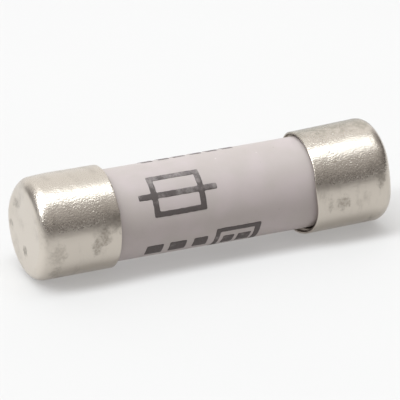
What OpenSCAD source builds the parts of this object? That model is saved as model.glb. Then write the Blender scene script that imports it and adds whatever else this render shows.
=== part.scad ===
// Cylindrical cartridge fuse-link, 10.3 x 38 mm, of double-cap construction.
// A ceramic tube full of quartz sand holds one notched strip. Each end is closed by a fibre washer, by a
// thin inner cap that the strip is soldered to, and by a plated outer cap pressed over the inner cap.
// Frame: X is the fuse's axis, the origin is its centre and +Z is up. Sizes are in millimetres.

/* [Overall] */
// Length over the two outer caps
fuse_length = 38; // [36:0.1:40]
// Outside diameter of the outer caps
cap_diameter = 10.3; // [10:0.05:10.6]

/* [Outer caps] */
// Length of an outer cap, from its end face to its mouth
cap_length = 8.4; // [7:0.1:10]
// Sheet thickness of an outer cap
cap_wall = 0.3; // [0.25:0.01:0.4]
// Outside radius between the end face and the side
cap_corner = 1.3; // [0.9:0.05:1.6]

/* [Inner caps] */
// Length of an inner cap, from its end face to its mouth
inner_cap_length = 5.6; // [4:0.1:5.8]
// Sheet thickness of an inner cap, which is also the gap at the outer cap's mouth
inner_cap_wall = 0.22; // [0.15:0.01:0.3]
// Outside radius between an inner cap's end face and its side
inner_cap_corner = 0.9; // [0.7:0.05:0.95]
// Space between the end walls of the two caps, which holds the solder joint
joint_space = 0.65; // [0.6:0.05:0.8]

/* [Ceramic tube] */
// Bore of the tube
bore_diameter = 6; // [5.8:0.1:6.6]
// Rounding of the outer edge at each end of the tube
tube_edge = 0.5; // [0.4:0.05:0.7]

/* [Washers and plug] */
// Thickness of a fibre washer
washer_thickness = 0.6; // [0.4:0.05:0.8]
// Diameter of the sand filling hole, in the right-hand end only
fill_hole_diameter = 1.2; // [1:0.1:1.3]
// Distance of the filling hole's centre below the axis
fill_hole_drop = 2.25; // [2.2:0.05:2.35]

/* [Fuse element] */
// Width of the strip
strip_width = 2.6; // [2.2:0.1:2.8]
// Thickness of the strip
strip_thickness = 0.15; // [0.1:0.01:0.18]
// Width left at a neck
neck_width = 0.6; // [0.4:0.05:1]
// Number of necks along the strip
neck_count = 5; // [3:2:7]
// Distance from neck to neck
neck_pitch = 5; // [3.8:0.1:5]
// Height of the tab folded up at each end
tab_height = 1.1; // [0.8:0.05:1.2]

/* [Printing] */
// Thickness of the ink film
ink_film = 0.04; // [0.03:0.01:0.06]
// Width of a printed line
ink_line = 0.55; // [0.3:0.05:0.6]
// Height of a printed bar
bar_height = 1.6; // [1:0.1:2]

/* [Hidden] */
$fn = 96;

half_length = fuse_length / 2;
cap_radius = cap_diameter / 2;
inner_cap_radius = cap_radius - cap_wall;
tube_radius = inner_cap_radius - inner_cap_wall;
bore_radius = bore_diameter / 2;
// Where each layer of the right-hand end stops, from the outside inwards
inner_cap_end = half_length - cap_wall - joint_space;
washer_end = inner_cap_end - inner_cap_wall;
tube_end = washer_end - washer_thickness;
// A washer stops short of the round corner inside its inner cap.
washer_radius = inner_cap_radius - inner_cap_corner - 0.15;
bore_chamfer = 0.2;
slot_clearance = 0.1;
// Added to a cutting shape, so that it passes the faces that it cuts
cut_extra = 1;

bead_radius = 0.75;
bead_height = 0.45;
solder_radius = strip_width / 2 + 0.5;
solder_height = 0.5;
plug_head_radius = 0.75;
plug_head_height = 0.25;

// The prints: x is along the axis, and angles are from the top of the tube towards -Y.
symbol_x = -4;
symbol_angle = 50;
symbol_box = [5.6, 4.3];
symbol_line = 8.4;
upper_row_angle = -24;
upper_row = [for (i = [0 : 5]) [1.75 * i - 5.3, 1.2]];
lower_row_angle = 127;
lower_row = [[-6.6, 1.8], [-4.1, 1.8], [-1.7, 1.5]];
panel_x = 2.3;
panel_angle = 133;
panel_box = [4.8, 4.1];
panel_bars = [[1.4, 1.1], [3.1, 1.3]];

ceramic_white = [0.87, 0.85, 0.84];
nickel = [0.8, 0.77, 0.7];
tinned_brass = [0.82, 0.76, 0.58];
fibre_grey = [0.6, 0.56, 0.5];
copper = [0.85, 0.5, 0.35];
solder_grey = [0.7, 0.7, 0.72];
sand = [0.88, 0.85, 0.76];
ink = [0.28, 0.25, 0.25];

// Each end piece is drawn at the right-hand end. The left-hand one is its mirror image.
module at_left() mirror([1, 0, 0]) children();

// Turns a profile, drawn with the radius along x and the fuse's axis along y, about the fuse's axis.
module about_axis(angle = 360) rotate([90, 0, 90]) rotate_extrude(angle = angle) children();

// Stands a shape drawn along +Z on the plane x = start, pointing towards +X.
module along_axis(start, height = 0) translate([start, 0, height]) rotate([0, 90, 0]) children();

// In a profile, a rectangle from the axis out to a radius, between two places along the axis.
module band(radius, from, to) translate([0, from]) square([radius, to - from]);

// In a profile, a drawn cup: closed at y = end and open below, with a rounded corner and mouth.
module cup_profile(radius, wall, corner, end, length) {
    mouth = wall / 2;
    difference() {
        union() {
            band(radius, end - length + mouth, end - corner);
            band(radius - corner, end - corner - mouth, end);
            translate([radius - corner, end - corner]) circle(corner);
            translate([radius - mouth, end - length + mouth]) circle(mouth);
        }
        band(radius - wall, end - length - cut_extra, end - corner);
        band(radius - corner, end - corner - mouth, end - wall);
        translate([radius - corner, end - corner]) circle(corner - wall);
    }
}

module outer_cap() color(nickel)
    about_axis() cup_profile(cap_radius, cap_wall, cap_corner, half_length, cap_length);

module inner_cap(filled = false) color(tinned_brass) difference() {
    about_axis()
        cup_profile(inner_cap_radius, inner_cap_wall, inner_cap_corner, inner_cap_end, inner_cap_length);
    strip_slot();
    if (filled) fill_hole();
}

// The slot that the strip passes through, in a washer and in an inner cap.
module strip_slot() {
    length = inner_cap_end - tube_end + 2 * cut_extra;
    width = strip_width + 2 * slot_clearance;
    height = strip_thickness + 2 * slot_clearance;
    translate([tube_end - cut_extra, -width / 2, -height / 2]) cube([length, width, height]);
}

module fill_hole() along_axis(tube_end - cut_extra, -fill_hole_drop)
    cylinder(d = fill_hole_diameter, h = inner_cap_end - tube_end + 2 * cut_extra);

module ceramic_tube() color(ceramic_white) about_axis() difference() {
    union() {
        band(tube_radius - tube_edge, -tube_end, tube_end);
        band(tube_radius, tube_edge - tube_end, tube_end - tube_edge);
        for (side = [-1, 1])
            translate([tube_radius - tube_edge, side * (tube_end - tube_edge)]) circle(tube_edge);
    }
    band(bore_radius, -half_length, half_length);
    for (side = [-1, 1])
        polygon([
            [0, side * (tube_end - bore_chamfer - bore_radius)],
            [bore_radius + bore_chamfer + cut_extra, side * (tube_end + cut_extra)],
            [0, side * (tube_end + cut_extra)]
        ]);
}

module fibre_washer(filled = false) color(fibre_grey) difference() {
    along_axis(tube_end) cylinder(r = washer_radius, h = washer_thickness);
    strip_slot();
    if (filled) fill_hole();
}

// The strip lies flat on the axis. Pairs of round notches leave the necks, and each end is folded up
// over its inner cap as a tab.
module fuse_element() color(copper) {
    notch_radius = (strip_width - neck_width) / 2;
    first_neck = -neck_pitch * (neck_count - 1) / 2;
    translate([0, 0, -strip_thickness / 2]) linear_extrude(strip_thickness) difference() {
        square([2 * (inner_cap_end + strip_thickness), strip_width], center = true);
        for (i = [0 : neck_count - 1], side = [-1, 1])
            translate([first_neck + i * neck_pitch, side * strip_width / 2]) circle(notch_radius);
    }
    tab();
    at_left() tab();
}

module tab() translate([inner_cap_end, -strip_width / 2, -strip_thickness / 2])
    cube([strip_thickness, strip_width, tab_height]);

// A low dome on the XY plane, part of a sphere.
module dome(radius, height) {
    sphere_radius = (pow(radius, 2) + pow(height, 2)) / (2 * height);
    intersection() {
        translate([0, 0, height - sphere_radius]) sphere(sphere_radius);
        cylinder(r = 2 * radius, h = 2 * height);
    }
}

// The tin alloy spot that melts the strip through on a long overload, midway between two necks.
module overload_bead() color(solder_grey)
    translate([neck_pitch / 2, 0, strip_thickness / 2]) dome(bead_radius, bead_height);

// Solder over the folded tab, on the inner cap's end face.
module solder_joint() color(solder_grey) difference() {
    along_axis(inner_cap_end, (tab_height - strip_thickness) / 2) dome(solder_radius, solder_height);
    fuse_element();
}

module quartz_filler() color(sand) difference() {
    along_axis(-tube_end) cylinder(r = bore_radius, h = 2 * tube_end);
    fuse_element();
    overload_bead();
}

module filling_plug() color(fibre_grey) {
    along_axis(tube_end, -fill_hole_drop) cylinder(d = fill_hole_diameter, h = inner_cap_end - tube_end);
    along_axis(inner_cap_end, -fill_hole_drop) cylinder(r = plug_head_radius, h = plug_head_height);
}

// Ink on the tube where a flat drawing meets it, with x along the axis. The drawing faces outwards at an
// angle from the top of the tube towards -Y.
module print_at(angle) color(ink) intersection() {
    about_axis() translate([tube_radius, -half_length]) square([ink_film, fuse_length]);
    rotate([angle, 0, 0]) linear_extrude(cap_diameter) children();
}

// The outline of a rectangle.
module frame_outline(size) difference() {
    square(size, center = true);
    square([size[0] - 2 * ink_line, size[1] - 2 * ink_line], center = true);
}

// A row of plain bars, each given as its middle and its length.
module bar_row(bars) for (bar = bars) translate([bar[0], 0]) square([bar[1], bar_height], center = true);

// The general graphical symbol for a fuse: a rectangle with a line through it.
module printed_symbol() print_at(symbol_angle) translate([symbol_x, 0]) {
    frame_outline(symbol_box);
    square([symbol_line, ink_line], center = true);
}

// Two rows of plain bars, and a framed pair of bars.
module printed_bars() {
    print_at(upper_row_angle) bar_row(upper_row);
    print_at(lower_row_angle) bar_row(lower_row);
    print_at(panel_angle) {
        translate([panel_x, 0]) frame_outline(panel_box);
        bar_row(panel_bars);
    }
}

ceramic_tube();
at_left() outer_cap();  // left_outer_cap
outer_cap();  // right_outer_cap
at_left() inner_cap();  // left_inner_cap
inner_cap(filled = true);  // right_inner_cap
at_left() fibre_washer();  // left_fibre_washer
fibre_washer(filled = true);  // right_fibre_washer
at_left() solder_joint();  // left_solder_joint
solder_joint();  // right_solder_joint
fuse_element();
overload_bead();
quartz_filler();
filling_plug();
printed_symbol();
printed_bars();
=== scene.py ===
"""Looks for the cartridge fuse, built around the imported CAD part.

The outer caps, the ceramic tube and the prints are rebuilt here as finished meshes, and the sealed inner
pieces keep their CAD meshes. Lengths are in metres in the row frame: X is the fuse's axis, +Z is up and
the origin is the fuse's centre. Angles round the axis are from the top of the fuse towards -Y.
"""

import math
import random

import bpy
import numpy as np
from mathutils import Matrix, Vector, noise


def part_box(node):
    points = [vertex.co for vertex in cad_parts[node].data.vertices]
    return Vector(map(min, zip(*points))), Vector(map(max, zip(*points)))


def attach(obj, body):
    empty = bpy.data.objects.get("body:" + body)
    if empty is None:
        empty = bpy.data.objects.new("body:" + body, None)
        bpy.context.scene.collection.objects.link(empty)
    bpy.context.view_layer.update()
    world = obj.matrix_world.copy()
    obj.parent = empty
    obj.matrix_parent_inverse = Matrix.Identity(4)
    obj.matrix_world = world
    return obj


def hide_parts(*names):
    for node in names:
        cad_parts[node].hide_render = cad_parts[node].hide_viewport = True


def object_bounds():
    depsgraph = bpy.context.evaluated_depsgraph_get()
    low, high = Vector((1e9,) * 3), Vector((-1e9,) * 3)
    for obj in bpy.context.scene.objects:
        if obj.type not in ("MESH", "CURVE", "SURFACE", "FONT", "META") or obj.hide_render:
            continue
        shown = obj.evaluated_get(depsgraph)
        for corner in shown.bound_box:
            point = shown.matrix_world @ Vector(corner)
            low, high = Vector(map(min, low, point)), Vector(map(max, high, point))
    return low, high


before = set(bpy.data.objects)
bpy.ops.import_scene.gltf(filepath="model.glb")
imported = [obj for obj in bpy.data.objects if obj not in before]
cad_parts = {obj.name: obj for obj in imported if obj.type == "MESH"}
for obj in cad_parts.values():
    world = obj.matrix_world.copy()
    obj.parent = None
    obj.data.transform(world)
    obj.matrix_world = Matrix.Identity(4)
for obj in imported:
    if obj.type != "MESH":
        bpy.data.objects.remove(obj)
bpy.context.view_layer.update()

MM = 0.001
FULL_TURN = 2 * math.pi

# Sizes that the frame gives
HALF_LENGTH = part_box("right_outer_cap")[1].x
CAP_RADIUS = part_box("right_outer_cap")[1].z
CAP_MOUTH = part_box("right_outer_cap")[0].x
INNER_CAP_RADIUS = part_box("right_inner_cap")[1].z
TUBE_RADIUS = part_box("ceramic_tube")[1].z
TUBE_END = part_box("ceramic_tube")[1].x
BORE_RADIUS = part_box("quartz_filler")[1].z

# Outer caps
CAP_WALL = CAP_RADIUS - INNER_CAP_RADIUS
CAP_CORNER = 1.3 * MM
CAP_INNER_RADIUS = INNER_CAP_RADIUS + 0.04 * MM
LIP_RADIUS = 0.10 * MM
CRIMP_LENGTH = 0.28 * MM
CRIMP_RADIUS = TUBE_RADIUS + 0.04 * MM
CAP_SWELL = 0.04 * MM
CAP_TAPER = 0.06 * MM
CAP_SEGMENTS = 360
CAP_SPACING = 0.09 * MM
CAP_INSIDE_SPACING = 0.4 * MM
POLE_RADIUS = 0.02 * MM

# Dents in the outer caps
DENT_COUNT = 130
DENTS_ON_SIDE = 0.72
FLAT_END_SHARE = 0.6
DENT_RADII = (0.2 * MM, 0.55 * MM)
DENT_STEEPNESS = (0.008, 0.03)
END_FACE_STEEPNESS = 0.4

# Ceramic tube
TUBE_EDGE = 0.5 * MM
BORE_CHAMFER = 0.2 * MM
TUBE_SEGMENTS = 256
TUBE_SPACING = 0.25 * MM
RIPPLE_DEPTH = 0.006 * MM
RIPPLES_PER_METRE = 180

# Prints, in millimetres apart from the film
INK_FILM = 0.02 * MM
INK_CELL = 0.1
INK_BLEED = 0.035
BLEEDS_PER_MM = 2.2
BLEED_SEED = 7
PRINT_LINE = 0.55
BAR_HEIGHT = 1.6

# Studio. The softbox's edges are tangents of the angle from straight up, and it fades between them
FLOOR_HALF = 3.0
SOFTBOX_ACROSS = (-0.43, -0.03, 0.03, 0.225)
SOFTBOX_ALONG = (-3.2, -2.2, 0.42, 0.7)
CAMERA_AZIMUTH = math.radians(-23.04)
CAMERA_ELEVATION = math.radians(24.57)
CAMERA_DISTANCE = 0.618
CAMERA_LENS = 557
CAMERA_SHIFT = (-0.0020, -0.0021)


# ---------------------------------------------------------------- shader helpers

def node(tree, kind, settings=None, **inputs):
    """A new node, with settings for its properties and with values or other sockets for its inputs.

    An input is named after its socket, or is _0, _1 and so on after the socket's place.
    """
    made = tree.nodes.new("ShaderNode" + kind)
    for name, value in (settings or {}).items():
        setattr(made, name, value)
    for name, value in inputs.items():
        socket = made.inputs[int(name[1:])] if name[0] == "_" else made.inputs[name.replace("_", " ")]
        put(tree, socket, value)
    return made


def put(tree, socket, value):
    """Links the value to the socket if it is a socket itself, and otherwise sets it."""
    if isinstance(value, bpy.types.NodeSocket):
        tree.links.new(value, socket)
    else:
        socket.default_value = value


def feed(tree, shader, **inputs):
    """Sets or links the shader's sockets."""
    for name, value in inputs.items():
        put(tree, shader.inputs[name.replace("_", " ")], value)


def math_of(tree, operation, first, second=0.0):
    """The result of one Math node."""
    return node(tree, "Math", {"operation": operation}, _0=first, _1=second).outputs[0]


def plus(tree, first, second):
    """The sum of two values."""
    return math_of(tree, "ADD", first, second)


def times(tree, first, second):
    """The product of two values."""
    return math_of(tree, "MULTIPLY", first, second)


def highest(tree, first, second):
    """The larger of two values."""
    return math_of(tree, "MAXIMUM", first, second)


def ranged(tree, value, low, high, to_low=0.0, to_high=1.0):
    """The value moved smoothly from low..high to to_low..to_high, and held at the ends."""
    made = node(
        tree, "MapRange", {"interpolation_type": "SMOOTHSTEP"},
        Value=value, From_Min=low, From_Max=high, To_Min=to_low, To_Max=to_high,
    )
    return made.outputs["Result"]


def between(tree, value, start, full_from, full_to, end):
    """1 from full_from to full_to, falling smoothly to 0 at start and end."""
    return times(tree, ranged(tree, value, start, full_from), ranged(tree, value, end, full_to))


def noise_value(tree, place, scale, detail=3.0, roughness=0.5):
    """Noise from 0 to 1, with its scale in features per millimetre."""
    made = node(tree, "TexNoise", Vector=place, Scale=scale, Detail=detail, Roughness=roughness)
    return made.outputs["Fac"]


def dots(tree, place, scale, share, radius):
    """Round dots that fall from 1 in the middle to 0, in a share of the cells, with a radius in cells."""
    cells = node(tree, "TexVoronoi", Vector=place, Scale=scale, Randomness=1.0)
    draw = node(tree, "SeparateXYZ", _0=cells.outputs["Color"]).outputs[0]
    chosen = ranged(tree, draw, 1 - share, 1.01 - share)
    return times(tree, ranged(tree, cells.outputs["Distance"], 0.0, radius, 1.0, 0.0), chosen)


def mixed(tree, factor, first, second):
    """Two colours mixed by a factor."""
    return node(tree, "MixRGB", Fac=factor, Color1=first, Color2=second).outputs["Color"]


def colour(red, green, blue):
    """A linear colour with full alpha."""
    return (red, green, blue, 1.0)


def length_of(tree, vector):
    """The length of a vector."""
    return node(tree, "VectorMath", {"operation": "LENGTH"}, _0=vector).outputs["Value"]


def bumped(tree, height, depth, before=None):
    """A normal from a height of 0 to 1 that stands for a depth in metres."""
    made = node(tree, "Bump", Height=height, Distance=depth, Strength=1.0)
    if before is not None:
        tree.links.new(before, made.inputs["Normal"])
    return made.outputs["Normal"]


def new_material(name):
    """A material with an empty tree, its Principled shader and the place in millimetres."""
    material = bpy.data.materials.new(name)
    material.use_nodes = True
    tree = material.node_tree
    tree.nodes.clear()
    shader = node(tree, "BsdfPrincipled")
    output = node(tree, "OutputMaterial")
    tree.links.new(shader.outputs["BSDF"], output.inputs["Surface"])
    coordinates = node(tree, "TexCoord")
    place = node(tree, "Mapping", Vector=coordinates.outputs["Object"], Scale=(1 / MM, 1 / MM, 1 / MM))
    return material, tree, shader, place.outputs["Vector"]


# ---------------------------------------------------------------- plated metal

def on_cap(along, angle, end_radius=None):
    """A point in millimetres on a cap's side, or on its end face at a radius."""
    radius = CAP_RADIUS / MM if end_radius is None else end_radius
    turn = math.radians(angle)
    return (along, -radius * math.sin(turn), radius * math.cos(turn))


# Handling marks on the caps, as (centre, half sizes along X, Y and Z in millimetres, strength)
SCUFFS = [
    (on_cap(-13.1, 97), (0.55, 1.6, 0.9), 1.0),
    (on_cap(-12.4, 84), (0.6, 1.0, 1.3), 1.0),
    (on_cap(-11.1, 72), (0.8, 1.0, 0.9), 0.8),
    (on_cap(-17.4, 100), (0.8, 0.8, 1.1), 0.6),
    (on_cap(-17.3, 128), (0.6, 0.9, 0.9), 0.55),
    (on_cap(-16.6, 146), (0.6, 0.9, 0.5), 0.8),
    (on_cap(-19, -49, end_radius=3.05), (0.5, 0.9, 0.5), 0.8),
    (on_cap(-19, 173, end_radius=2.1), (0.5, 0.45, 0.6), 1.0),
    (on_cap(-19, -99, end_radius=3.5), (0.5, 0.5, 0.35), 0.7),
    (on_cap(12.0, 98), (0.3, 1.6, 0.9), 0.7),
    (on_cap(13.3, 97), (0.6, 1.5, 0.8), 1.0),
    (on_cap(17.6, 30), (0.5, 1.0, 0.6), 0.8),
    (on_cap(17.7, 52), (0.5, 0.9, 0.9), 0.8),
    (on_cap(17.5, 76), (0.45, 0.8, 0.9), 0.9),
    (on_cap(16.0, -130), (1.2, 0.9, 1.1), 1.0),
    (on_cap(-14.5, -100), (0.6, 1.2, 1.6), 1.0),
    (on_cap(19, 60, end_radius=2.2), (0.4, 1.0, 0.5), 1.0),
]


def scuffed(tree, place):
    """How scuffed a place is, from 0 to 1: the handling marks, soft and mottled, and random faint ones."""
    ragged = noise_value(tree, place, 1.6, detail=4.0, roughness=0.65)
    edge = times(tree, math_of(tree, "SUBTRACT", ragged, 0.5), 3.0)
    squeezed = node(tree, "Mapping", Vector=place, Scale=(2.4, 1.0, 1.0), Location=(1.5, 0.0, 0.0))
    faint = noise_value(tree, squeezed.outputs["Vector"], 0.32, detail=5.0, roughness=0.55)
    deepest = ranged(tree, faint, 0.5, 0.78, 0.0, 0.7)
    for centre, sizes, strength in SCUFFS:
        away = node(tree, "VectorMath", {"operation": "SUBTRACT"}, _0=place, _1=centre).outputs[0]
        scaled = node(tree, "VectorMath", {"operation": "DIVIDE"}, _0=away, _1=sizes).outputs[0]
        distance = plus(tree, length_of(tree, scaled), edge)
        deepest = highest(tree, deepest, ranged(tree, distance, 0.45, 1.4, strength, 0.0))
    mottle = ranged(tree, noise_value(tree, place, 3.5, detail=2.0), 0.4, 0.6, 0.6, 1.0)
    return times(tree, deepest, mottle)


def plate_tone(tree, place, end_face, scuff):
    """The plating's colour: clouded, with painted shade on the right cap's upper back and a painted
    brighter reflection on the end faces.
    """
    x, y, z = node(tree, "SeparateXYZ", _0=place).outputs
    cloud = noise_value(tree, place, 0.2, detail=2.0)
    tone = mixed(tree, cloud, colour(0.59, 0.539, 0.475), colour(0.555, 0.507, 0.447))
    # Painted shade: the plating on the right cap's upper back is darkened towards olive by the way it
    # faces.
    lean = plus(tree, times(tree, z, 0.9), times(tree, y, 0.45))
    ragged = ranged(tree, noise_value(tree, place, 1.6, detail=4.0), 0.3, 0.7, -0.35, 0.35)
    upper_back = ranged(tree, plus(tree, lean, ragged), 3.9, 5.3)
    upper_back_shade = times(tree, upper_back, ranged(tree, x, 0.0, 1.0))
    tone = mixed(tree, times(tree, upper_back_shade, 0.85), tone, colour(0.33, 0.307, 0.25))
    # Painted brighter reflection: the end faces get a lighter plating colour.
    tone = mixed(tree, end_face, tone, colour(0.68, 0.625, 0.555))
    return mixed(tree, times(tree, scuff, 0.85), tone, colour(0.31, 0.276, 0.237))


def worn_smooth(tree, place, end_face):
    """How far the peel is worn down, from 0 to 1: low on the caps, on the end faces and on the left top."""
    x, _, z = node(tree, "SeparateXYZ", _0=place).outputs
    low = ranged(tree, z, 2.6, 0.9)
    left_top = times(tree, ranged(tree, z, 4.3, 4.75), ranged(tree, x, 1.0, 0.0, 0.0, 0.65))
    return highest(tree, highest(tree, low, end_face), left_top)


def nickel_plate():
    """Barrel-plated nickel: satin, with fine peel and pits, scuffs, painted shade on the right cap's upper
    back, and smoother end faces painted brighter.
    """
    material, tree, shader, place = new_material("nickel_plate")
    along = node(tree, "SeparateXYZ", _0=place).outputs["X"]
    from_end = math_of(tree, "SUBTRACT", HALF_LENGTH / MM, math_of(tree, "ABSOLUTE", along))
    end_face = ranged(tree, from_end, 0.7, 0.1)
    scuff = scuffed(tree, place)
    smooth = worn_smooth(tree, place, end_face)
    peel = noise_value(tree, place, 6.2, detail=1.5, roughness=0.6)
    patch = ranged(tree, noise_value(tree, place, 0.3, detail=1.0), 0.4, 0.6, 0.6, 1.0)
    strength = times(tree, patch, ranged(tree, smooth, 0.0, 1.0, 1.0, 0.2))
    pit = times(tree, dots(tree, place, 1.5, 0.16, 0.22), strength)
    satin = plus(tree, ranged(tree, peel, 0.3, 0.7, 0.21, 0.27), times(tree, smooth, 0.08))
    peeled = bumped(tree, times(tree, peel, strength), 0.048 * MM)
    feed(
        tree, shader, Base_Color=plate_tone(tree, place, end_face, scuff), Metallic=1.0,
        Roughness=plus(tree, satin, times(tree, scuff, 0.1)),
        Normal=bumped(tree, pit, -0.05 * MM, before=peeled),
    )
    return material


# ---------------------------------------------------------------- other materials

def fired_ceramic():
    """Unglazed electrical ceramic: an even satin grey-white with faint clouding and a few specks."""
    material, tree, shader, place = new_material("fired_ceramic")
    cloud = ranged(tree, noise_value(tree, place, 0.35, detail=4.0), 0.3, 0.7)
    dark_specks = times(tree, dots(tree, place, 0.9, 0.2, 0.09), 0.6)
    light_specks = times(tree, dots(tree, place, 0.7, 0.2, 0.1), 0.5)
    tone = mixed(tree, cloud, colour(0.423, 0.377, 0.357), colour(0.456, 0.4, 0.393))
    tone = mixed(tree, dark_specks, tone, colour(0.2, 0.17, 0.16))
    tone = mixed(tree, light_specks, tone, colour(0.8, 0.78, 0.76))
    grain = noise_value(tree, place, 9.0, detail=3.0)
    feed(
        tree, shader, Base_Color=tone, Roughness=ranged(tree, grain, 0.3, 0.7, 0.42, 0.55),
        Specular_IOR_Level=0.3, Normal=bumped(tree, grain, 0.003 * MM),
    )
    return material


def stamped_ink():
    """Dark ink stamped on the tube, thin in places so that the ceramic shows through."""
    material, tree, shader, place = new_material("stamped_ink")
    height = node(tree, "SeparateXYZ", _0=place).outputs["Z"]
    blotch = noise_value(tree, place, 0.55, detail=6.0, roughness=0.7)
    # The ink is thinner in random blotches, and more towards the top of the tube.
    thinning = plus(tree, blotch, ranged(tree, height, 1.5, 4.6, -0.06, 0.1))
    thin = times(tree, ranged(tree, thinning, 0.46, 0.72), 0.7)
    tone = mixed(tree, thin, colour(0.075, 0.061, 0.058), colour(0.33, 0.295, 0.285))
    grain = noise_value(tree, place, 8.0, detail=2.0)
    feed(
        tree, shader, Base_Color=tone, Roughness=ranged(tree, grain, 0.3, 0.7, 0.5, 0.7),
        Normal=bumped(tree, grain, 0.004 * MM),
    )
    return material


def metal(name, clean, dull, roughness, scale, depth):
    """A plain drawn or cast metal: two tones in clouds, with grain in its gloss and relief."""
    material, tree, shader, place = new_material(name)
    cloud = ranged(tree, noise_value(tree, place, 0.6, detail=4.0), 0.35, 0.65)
    grain = noise_value(tree, place, scale, detail=3.0)
    feed(
        tree, shader, Base_Color=mixed(tree, cloud, clean, dull), Metallic=1.0,
        Roughness=ranged(tree, grain, 0.3, 0.7, roughness - 0.06, roughness + 0.08),
        Normal=bumped(tree, grain, depth),
    )
    return material


def vulcanised_fibre():
    """Pressed fibre board, with fine fibres lying in every direction."""
    material, tree, shader, place = new_material("vulcanised_fibre")
    fibres = node(tree, "TexNoise", Vector=place, Scale=3.0, Detail=4.0, Distortion=2.5).outputs["Fac"]
    tone = mixed(tree, ranged(tree, fibres, 0.35, 0.65), colour(0.30, 0.25, 0.20), colour(0.47, 0.41, 0.34))
    feed(tree, shader, Base_Color=tone, Roughness=0.85, Normal=bumped(tree, fibres, 0.02 * MM))
    return material


def quartz_sand():
    """Packed quartz grains of about a third of a millimetre."""
    material, tree, shader, place = new_material("quartz_sand")
    grains = node(tree, "TexVoronoi", Vector=place, Scale=3.0)
    shade = ranged(tree, grains.outputs["Color"], 0.1, 0.9)
    feed(
        tree, shader, Base_Color=mixed(tree, shade, colour(0.62, 0.56, 0.45), colour(0.86, 0.83, 0.76)),
        Roughness=0.55, Normal=bumped(tree, grains.outputs["Distance"], -0.15 * MM),
    )
    return material


def pale_floor():
    """The pale top of a light table: lit from below as well, so that shadows stay faint, less far out."""
    material, tree, shader, place = new_material("pale_floor")
    cloud = noise_value(tree, place, 0.02, detail=2.0)
    tone = mixed(tree, cloud, colour(0.380, 0.376, 0.372), colour(0.388, 0.384, 0.380))
    glow = ranged(tree, length_of(tree, place), 50.0, 200.0, 0.81, 0.32)
    feed(tree, shader, Base_Color=tone, Roughness=0.9, Emission_Color=tone, Emission_Strength=glow)
    return material


# ---------------------------------------------------------------- mesh helpers

def mesh_object(name, points, faces, material):
    """A smooth-shaded object from points in metres."""
    mesh = bpy.data.meshes.new(name)
    mesh.from_pydata([tuple(p) for p in points], [], faces)
    mesh.materials.append(material)
    mesh.update()
    mesh.polygons.foreach_set("use_smooth", [True] * len(faces))
    made = bpy.data.objects.new(name, mesh)
    bpy.context.scene.collection.objects.link(made)
    return made


def steps(start, end, spacing):
    """Numbers from start towards end, without end, at about this spacing."""
    count = max(1, round(abs(end - start) / spacing))
    return [start + (end - start) * i / count for i in range(count)]


def arc(centre, radius, start, end, spacing):
    """Points of (along the axis, radius) on an arc, with its angles in degrees from the axis outwards."""
    turned = steps(math.radians(start), math.radians(end), spacing / radius)
    return [(centre[0] + radius * math.cos(a), centre[1] + radius * math.sin(a)) for a in turned]


def ring_points(profile, segments):
    """The profile's points turned about the X axis, as an array of (ring, segment, 3)."""
    along, radius = np.array(profile).T
    turn = np.linspace(0, FULL_TURN, segments, endpoint=False)
    points = np.empty((len(profile), segments, 3))
    points[..., 0] = along[:, None]
    points[..., 1] = -radius[:, None] * np.sin(turn)
    points[..., 2] = radius[:, None] * np.cos(turn)
    return points


def ring_faces(rings, segments, closed):
    """Quads between neighbouring rings, and from the last ring back to the first if closed."""
    faces = []
    for i in range(rings if closed else rings - 1):
        a, b = i * segments, (i + 1) % rings * segments
        for j in range(segments):
            k = (j + 1) % segments
            faces.append((a + j, b + j, b + k, a + k))
    return faces


def pole_faces(count, segments):
    """Triangles that close the first and the last of count points' rings, to the two points after them."""
    faces = []
    for j in range(segments):
        k = (j + 1) % segments
        faces.append((count, j, k))
        faces.append((count + 1, count - segments + k, count - segments + j))
    return faces


# ---------------------------------------------------------------- outer caps

def cap_profile():
    """A cap's section from the middle of its end face over the side and the lip to the middle inside."""
    corner = (HALF_LENGTH - CAP_CORNER, CAP_RADIUS - CAP_CORNER)
    lip = (CAP_MOUTH + LIP_RADIUS, CAP_RADIUS - LIP_RADIUS)
    crimp = (lip[0] + CRIMP_LENGTH, CRIMP_RADIUS)
    lip_inside = lip[1] - LIP_RADIUS
    inner_end = HALF_LENGTH - CAP_WALL
    points = [(HALF_LENGTH, r) for r in steps(POLE_RADIUS, corner[1], CAP_SPACING)]
    points += arc(corner, CAP_CORNER, 0, 90, CAP_SPACING)
    points += [(x, CAP_RADIUS) for x in steps(corner[0], lip[0], CAP_SPACING)]
    points += arc(lip, LIP_RADIUS, 90, 270, CAP_SPACING / 2)
    points += [
        (lip[0] + t * CRIMP_LENGTH, lip_inside + (CRIMP_RADIUS - lip_inside) * t ** 3)
        for t in steps(0, 1, 0.1)
    ]
    points += [crimp, (crimp[0] + CRIMP_LENGTH, CRIMP_RADIUS)]
    wall = steps(crimp[0] + 2 * CRIMP_LENGTH, corner[0], CAP_INSIDE_SPACING)
    points += [(x, CAP_INNER_RADIUS) for x in wall]
    points += arc(corner, CAP_CORNER - CAP_WALL, 90, 0, CAP_INSIDE_SPACING)
    points += [(inner_end, r) for r in steps(corner[1], POLE_RADIUS, CAP_INSIDE_SPACING)]
    return points + [(inner_end, POLE_RADIUS)]


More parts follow.
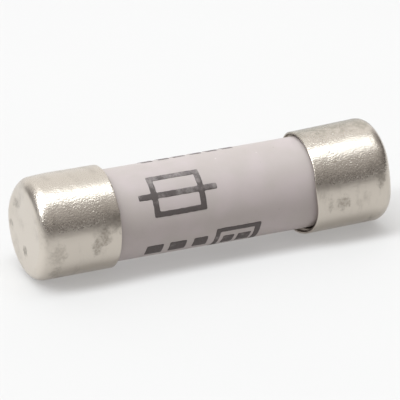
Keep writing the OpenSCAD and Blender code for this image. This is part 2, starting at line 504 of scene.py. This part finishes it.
def outer_cap(name, node_name, side, seed, material, tilt=0.0, lift=0.0, knocks=(), tongues=()):
    """A drawn and plated cap at one side of the fuse, -1 or 1, dented here and there.

    The cap sits crooked by tilt, in degrees, and higher by lift. Knocks are larger dents, as (centre,
    radius, depth) on a cap that points along +X. Tongues are where its mouth is longer, as (angle, half
    angle, length).
    """
    profile = cap_profile()
    points = ring_points(profile, CAP_SEGMENTS)
    shape = points.reshape(-1, 3)
    rng = random.Random(seed)
    press_in(shape, dents(rng) + list(knocks))
    taper(shape)
    wave_mouth(points, rng, tongues)
    seat_crooked(shape, math.radians(tilt), lift)
    shape[:, 0] *= side
    poles = [shape[:CAP_SEGMENTS].mean(0), shape[-CAP_SEGMENTS:].mean(0)]
    faces = ring_faces(len(profile), CAP_SEGMENTS, closed=False) + pole_faces(len(shape), CAP_SEGMENTS)
    if side < 0:
        faces = [face[::-1] for face in faces]
    made = mesh_object(name, np.vstack([shape, poles]), faces, material)
    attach(made, "root")
    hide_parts(node_name)
    return made


def outer_normals(shape):
    """Each point's direction away from the cap's middle line, rounded over the corner, zero inside."""
    along = np.clip(shape[:, 0] - (HALF_LENGTH - CAP_CORNER), 0, None)
    radius = np.hypot(shape[:, 1], shape[:, 2])
    beyond = np.clip(radius - (CAP_RADIUS - CAP_CORNER), 0, None)
    out = np.column_stack([along, shape[:, 1] / radius * beyond, shape[:, 2] / radius * beyond])
    length = np.linalg.norm(out, axis=1)
    out /= np.where(length > 0, length, 1)[:, None]
    return out * (length > CAP_CORNER - CAP_WALL / 2)[:, None]


def dents(rng):
    """Random shallow dents over a cap, as (centre, radius, depth)."""
    made = []
    for _ in range(DENT_COUNT):
        turn = rng.uniform(0, FULL_TURN)
        on_side = rng.uniform(0, 1) < DENTS_ON_SIDE
        if on_side:
            along, radius = rng.uniform(CAP_MOUTH, HALF_LENGTH - CAP_CORNER), CAP_RADIUS
        else:
            along, radius = HALF_LENGTH, CAP_RADIUS * math.sqrt(rng.uniform(0, FLAT_END_SHARE))
        size = rng.uniform(*DENT_RADII)
        steepness = rng.uniform(*DENT_STEEPNESS) * (1 if on_side else END_FACE_STEEPNESS)
        centre = (along, -radius * math.sin(turn), radius * math.cos(turn))
        made.append((centre, size, size * steepness))
    return made


def press_in(shape, hollows):
    """Presses the outside in by the deepest of the hollows, given as (centre, radius, depth)."""
    outward = outer_normals(shape)
    sink = np.zeros(len(shape))
    for centre, radius, depth in hollows:
        near = 1 - np.sum((shape - np.array(centre)) ** 2, axis=1) / radius ** 2
        sink = np.maximum(sink, depth * np.clip(near, 0, None) ** 2)
    shape -= outward * sink[:, None]


def taper(shape):
    """Widens the cap a little, and more towards its closed end, as the drawing punch leaves it."""
    grow = CAP_SWELL + np.clip((shape[:, 0] - CAP_MOUTH) / (HALF_LENGTH - CAP_MOUTH), 0, 1) * CAP_TAPER
    radius = np.hypot(shape[:, 1], shape[:, 2])
    wide = radius > CAP_RADIUS - CAP_CORNER
    shape[wide, 1:] *= (1 + grow / CAP_RADIUS)[wide, None]


def wave_mouth(points, rng, tongues):
    """Moves the mouth along and across by a little, as on a cup that isn't trimmed true."""
    depth, along_wave, across_wave, across_lag = 2.5 * MM, 0.04 * MM, 0.015 * MM, 40
    turn = np.linspace(0, FULL_TURN, points.shape[1], endpoint=False)
    fade = np.clip(1 - (points[:, 0, 0] - CAP_MOUTH) / depth, 0, 1)[:, None] ** 2
    wave = sum(
        rng.uniform(0.3, 1) / n * np.cos(n * turn + rng.uniform(0, FULL_TURN))
        for n in (2, 3, 5, 8)
    )
    longer = np.zeros(len(turn))
    for angle, half_angle, length in tongues:
        away = (np.degrees(turn) - angle + 180) % 360 - 180
        longer += length * np.exp(-(away / half_angle) ** 2)
    points[..., 0] += fade * (wave * along_wave - longer)
    points[..., 1:] *= (1 + fade * np.roll(wave, across_lag) * across_wave / CAP_RADIUS)[..., None]


def seat_crooked(shape, angle, lift):
    """Turns the cap about its mouth, so that its closed end goes up and back, and lifts it the same way."""
    up_and_back = Vector((0, 0.445, 0.895))
    turn = Matrix.Rotation(angle, 3, Vector((1, 0, 0)).cross(up_and_back))
    pivot = np.array([CAP_MOUTH + 0.6 * MM, 0, 0])
    shape[:] = (shape - pivot) @ np.array(turn).T + pivot + np.array(up_and_back) * lift


def outer_caps(material):
    """Both caps, with the knocks, the tilt and the ragged mouth that this fuse has."""
    edge = HALF_LENGTH - 0.3 * MM
    back_shoulder = ((edge, 3.0 * MM, 3.2 * MM), 3.6 * MM, 0.22 * MM)
    front_corner = ((edge, -4.3 * MM, 0.7 * MM), 3.0 * MM, 0.12 * MM)
    ragged = [(76, 22, 0.25 * MM), (212, 56, 0.78 * MM), (-55, 22, -0.2 * MM)]
    outer_cap(
        "left_plated_cap", "left_outer_cap", side=-1, seed=11, material=material,
        lift=0.04 * MM, knocks=[back_shoulder],
    )
    outer_cap(
        "right_plated_cap", "right_outer_cap", side=1, seed=23, material=material,
        tilt=1.5, lift=-0.06 * MM, knocks=[front_corner], tongues=ragged,
    )


# ---------------------------------------------------------------- ceramic tube

def ceramic_tube(material):
    """The fired tube: rounded end edges, a chamfered bore and a surface that isn't perfectly true."""
    edge = (TUBE_END - TUBE_EDGE, TUBE_RADIUS - TUBE_EDGE)
    half = [(TUBE_END - BORE_CHAMFER, BORE_RADIUS), (TUBE_END, BORE_RADIUS + BORE_CHAMFER)]
    half += [(TUBE_END, r) for r in steps(BORE_RADIUS + BORE_CHAMFER, edge[1], TUBE_SPACING)[1:]]
    half += arc(edge, TUBE_EDGE, 0, 90, TUBE_SPACING / 3)
    half += [(x, TUBE_RADIUS) for x in steps(edge[0], 0, TUBE_SPACING)]
    profile = half + [(-x, r) for x, r in reversed(half)]
    shape = ring_points(profile, TUBE_SEGMENTS).reshape(-1, 3)
    radius = np.hypot(shape[:, 1], shape[:, 2])
    ripple = np.array([noise.noise(Vector(p) * RIPPLES_PER_METRE) for p in shape]) * RIPPLE_DEPTH
    ripple *= radius > TUBE_RADIUS - 0.5 * TUBE_EDGE
    shape[:, 1:] *= (1 + ripple / radius)[:, None]
    faces = ring_faces(len(profile), TUBE_SEGMENTS, closed=True)
    made = mesh_object("ceramic_tube_body", shape, faces, material)
    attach(made, "root")
    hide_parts("ceramic_tube")
    return made


# ---------------------------------------------------------------- prints

def frame_bars(centre, size, line):
    """The four bars of a rectangle's outline, each as (x low, x high, y low, y high)."""
    x, y = centre
    w, h = size[0] / 2, size[1] / 2
    return [
        (x - w, x + w, y + h - line, y + h),
        (x - w, x + w, y - h, y - h + line),
        (x - w, x - w + line, y - h, y + h),
        (x + w - line, x + w, y - h, y + h),
    ]


def bar(x, length, height=BAR_HEIGHT):
    """A bar about the row's middle line, as (x low, x high, y low, y high)."""
    return (x - length / 2, x + length / 2, -height / 2, height / 2)


def inked_cells(bars):
    """The cells of a fine grid that lie in any bar, as a set of (column, row)."""
    cells = set()
    for x0, x1, y0, y1 in bars:
        for i in range(round(x0 / INK_CELL), round(x1 / INK_CELL)):
            for j in range(round(y0 / INK_CELL), round(y1 / INK_CELL)):
                cells.add((i, j))
    return cells


def cell_corners(cell):
    """A cell's four corners in order."""
    i, j = cell
    return [(i, j), (i + 1, j), (i + 1, j + 1), (i, j + 1)]


def outline(cells):
    """The inked shape's edges, as pairs of corners in the order of their cell's corners."""
    edges = []
    for i, j in cells:
        corners = cell_corners((i, j))
        beside = [(i, j - 1), (i + 1, j), (i, j + 1), (i - 1, j)]
        for n, other in enumerate(beside):
            if other not in cells:
                edges.append((corners[n], corners[(n + 1) % 4]))
    return edges


def soften(spots, edges, rounds=2):
    """Rounds the corners of the inked shape by moving each outline point towards its two neighbours."""
    neighbours = {}
    for a, b in edges:
        neighbours.setdefault(a, []).append(b)
        neighbours.setdefault(b, []).append(a)
    for _ in range(rounds):
        moved = {}
        for corner, near in neighbours.items():
            moved[corner] = (spots[corner] + sum(spots[n] for n in near) / len(near)) / 2
        spots = {**spots, **moved}
    return spots


def add_print(points, faces, bars, angle, seed):
    """Adds a film of ink on the tube for bars in millimetres, facing outwards at an angle in degrees."""
    cells = inked_cells(bars)
    edges = outline(cells)
    corners = sorted({c for cell in cells for c in cell_corners(cell)})
    spots = soften({c: np.array(c, float) * INK_CELL for c in corners}, edges)
    index = {}
    for layer, radius in enumerate((TUBE_RADIUS + INK_FILM, TUBE_RADIUS - INK_FILM)):
        for c in corners:
            x, y = spots[c]
            bleed = noise.noise_vector(Vector((x * BLEEDS_PER_MM, y * BLEEDS_PER_MM, seed))) * INK_BLEED
            x, y = (x + bleed.x) * MM, (y + bleed.y) * MM
            turn = math.radians(angle) + math.asin(-y / TUBE_RADIUS)
            index[c, layer] = len(points)
            points.append((x, -radius * math.sin(turn), radius * math.cos(turn)))
    for cell in cells:
        faces.append([index[c, 0] for c in cell_corners(cell)])
        faces.append([index[c, 1] for c in reversed(cell_corners(cell))])
    for a, b in edges:
        faces.append([index[b, 0], index[a, 0], index[a, 1], index[b, 1]])


def printed(name, node_name, rows, material):
    """One piece of print from a list of (bars, angle)."""
    points, faces = [], []
    for number, (bars, angle) in enumerate(rows):
        add_print(points, faces, bars, angle, seed=number * 10.0)
    made = mesh_object(name, points, faces, material)
    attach(made, "root")
    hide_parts(node_name)
    return made


def prints(material):
    """The generic fuse symbol, and plain bars where a maker would print words."""
    # Without this, noise_vector is shifted by another amount in every run. Zero would mean the clock
    noise.seed_set(BLEED_SEED)
    symbol = frame_bars((-4, 0), (5.6, 4.3), PRINT_LINE) + [bar(-4, 8.4, PRINT_LINE)]
    printed("fuse_symbol_ink", "printed_symbol", [(symbol, 50)], material)
    upper = [bar(1.75 * i - 5.3, 1.2) for i in range(6)]
    lower = [bar(-6.6, 1.8), bar(-4.1, 1.8), bar(-1.7, 1.5)]
    panel = frame_bars((2.3, 0), (4.8, 4.1), PRINT_LINE) + [bar(1.4, 1.1), bar(3.1, 1.3)]
    printed("bar_rows_ink", "printed_bars", [(upper, -24), (lower, 127), (panel, 133)], material)


# ---------------------------------------------------------------- sealed inner pieces

def dress_inner_pieces():
    """Materials for the CAD pieces that stay as they are."""
    brass = metal(
        "tinned_brass", colour(0.74, 0.69, 0.55), colour(0.62, 0.56, 0.42),
        roughness=0.32, scale=6.0, depth=0.004 * MM,
    )
    tin = metal(
        "tin_solder", colour(0.66, 0.66, 0.67), colour(0.50, 0.50, 0.50),
        roughness=0.38, scale=3.0, depth=0.02 * MM,
    )
    copper = metal(
        "rolled_copper", colour(0.85, 0.48, 0.33), colour(0.68, 0.34, 0.22),
        roughness=0.3, scale=7.0, depth=0.003 * MM,
    )
    fibre = vulcanised_fibre()
    dressing = {
        "left_inner_cap": brass, "right_inner_cap": brass,
        "left_fibre_washer": fibre, "right_fibre_washer": fibre, "filling_plug": fibre,
        "left_solder_joint": tin, "right_solder_joint": tin, "overload_bead": tin,
        "fuse_element": copper, "quartz_filler": quartz_sand(),
    }
    for name, material in dressing.items():
        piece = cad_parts[name]
        piece.data.materials.clear()
        piece.data.materials.append(material)


# ---------------------------------------------------------------- studio

def add_floor():
    """A pale floor at the lowest point of the fuse."""
    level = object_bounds()[0].z
    corners = ((-1, -1), (1, -1), (1, 1), (-1, 1))
    points = [(x * FLOOR_HALF, y * FLOOR_HALF, level) for x, y in corners]
    floor = mesh_object("studio_floor", points, [(0, 1, 2, 3)], pale_floor())


def room_light(tree, x, y, z):
    """The walls by direction: a pale backdrop behind the fuse, and elsewhere a room, lighter above."""
    flat = math_of(tree, "SQRT", plus(tree, math_of(tree, "POWER", x, 2), math_of(tree, "POWER", y, 2)))
    towards = plus(tree, times(tree, x, 0.17), times(tree, y, 0.985))
    behind = ranged(tree, math_of(tree, "DIVIDE", towards, flat), 0.66, 0.84)
    room = mixed(tree, ranged(tree, z, 0.0, 0.9), colour(0.125, 0.112, 0.109), colour(0.67, 0.65, 0.635))
    return mixed(tree, behind, room, colour(1.13, 1.12, 1.11))


def add_world():
    """The studio by direction: the room, and overhead a long softbox that is brighter to the left."""
    world = bpy.data.worlds.new("studio")
    bpy.context.scene.world = world
    world.use_nodes = True
    tree = world.node_tree
    tree.nodes.clear()
    x, y, z = node(tree, "SeparateXYZ", _0=node(tree, "TexCoord").outputs["Generated"]).outputs
    up = highest(tree, z, 0.001)
    across = math_of(tree, "DIVIDE", y, up)
    along = math_of(tree, "DIVIDE", x, up)
    softbox = times(
        tree, between(tree, across, *SOFTBOX_ACROSS), between(tree, along, *SOFTBOX_ALONG)
    )
    lamp = mixed(tree, ranged(tree, along, -0.2, 0.2), colour(9.7, 10.1, 10.4), colour(4.2, 4.4, 4.5))
    light = mixed(tree, softbox, room_light(tree, x, y, z), lamp)
    background = node(tree, "Background", Color=light, Strength=1.0)
    output = node(tree, "OutputWorld")
    tree.links.new(background.outputs["Background"], output.inputs["Surface"])


def add_camera():
    """A long lens at the photo's angle, looking at the fuse's centre."""
    camera = bpy.data.cameras.new("camera")
    camera.lens = CAMERA_LENS
    camera.sensor_width = 36
    camera.shift_x, camera.shift_y = CAMERA_SHIFT
    camera.clip_start, camera.clip_end = 0.01, 10
    back = Vector((
        math.sin(CAMERA_AZIMUTH) * math.cos(CAMERA_ELEVATION),
        -math.cos(CAMERA_AZIMUTH) * math.cos(CAMERA_ELEVATION),
        math.sin(CAMERA_ELEVATION),
    ))
    holder = bpy.data.objects.new("camera", camera)
    bpy.context.scene.collection.objects.link(holder)
    holder.location = back * CAMERA_DISTANCE
    holder.rotation_euler = back.to_track_quat("Z", "Y").to_euler()
    bpy.context.scene.camera = holder


outer_caps(nickel_plate())
ceramic_tube(fired_ceramic())
prints(stamped_ink())
dress_inner_pieces()
add_floor()
add_world()
add_camera()

bpy.context.scene.view_settings.view_transform = "Standard"
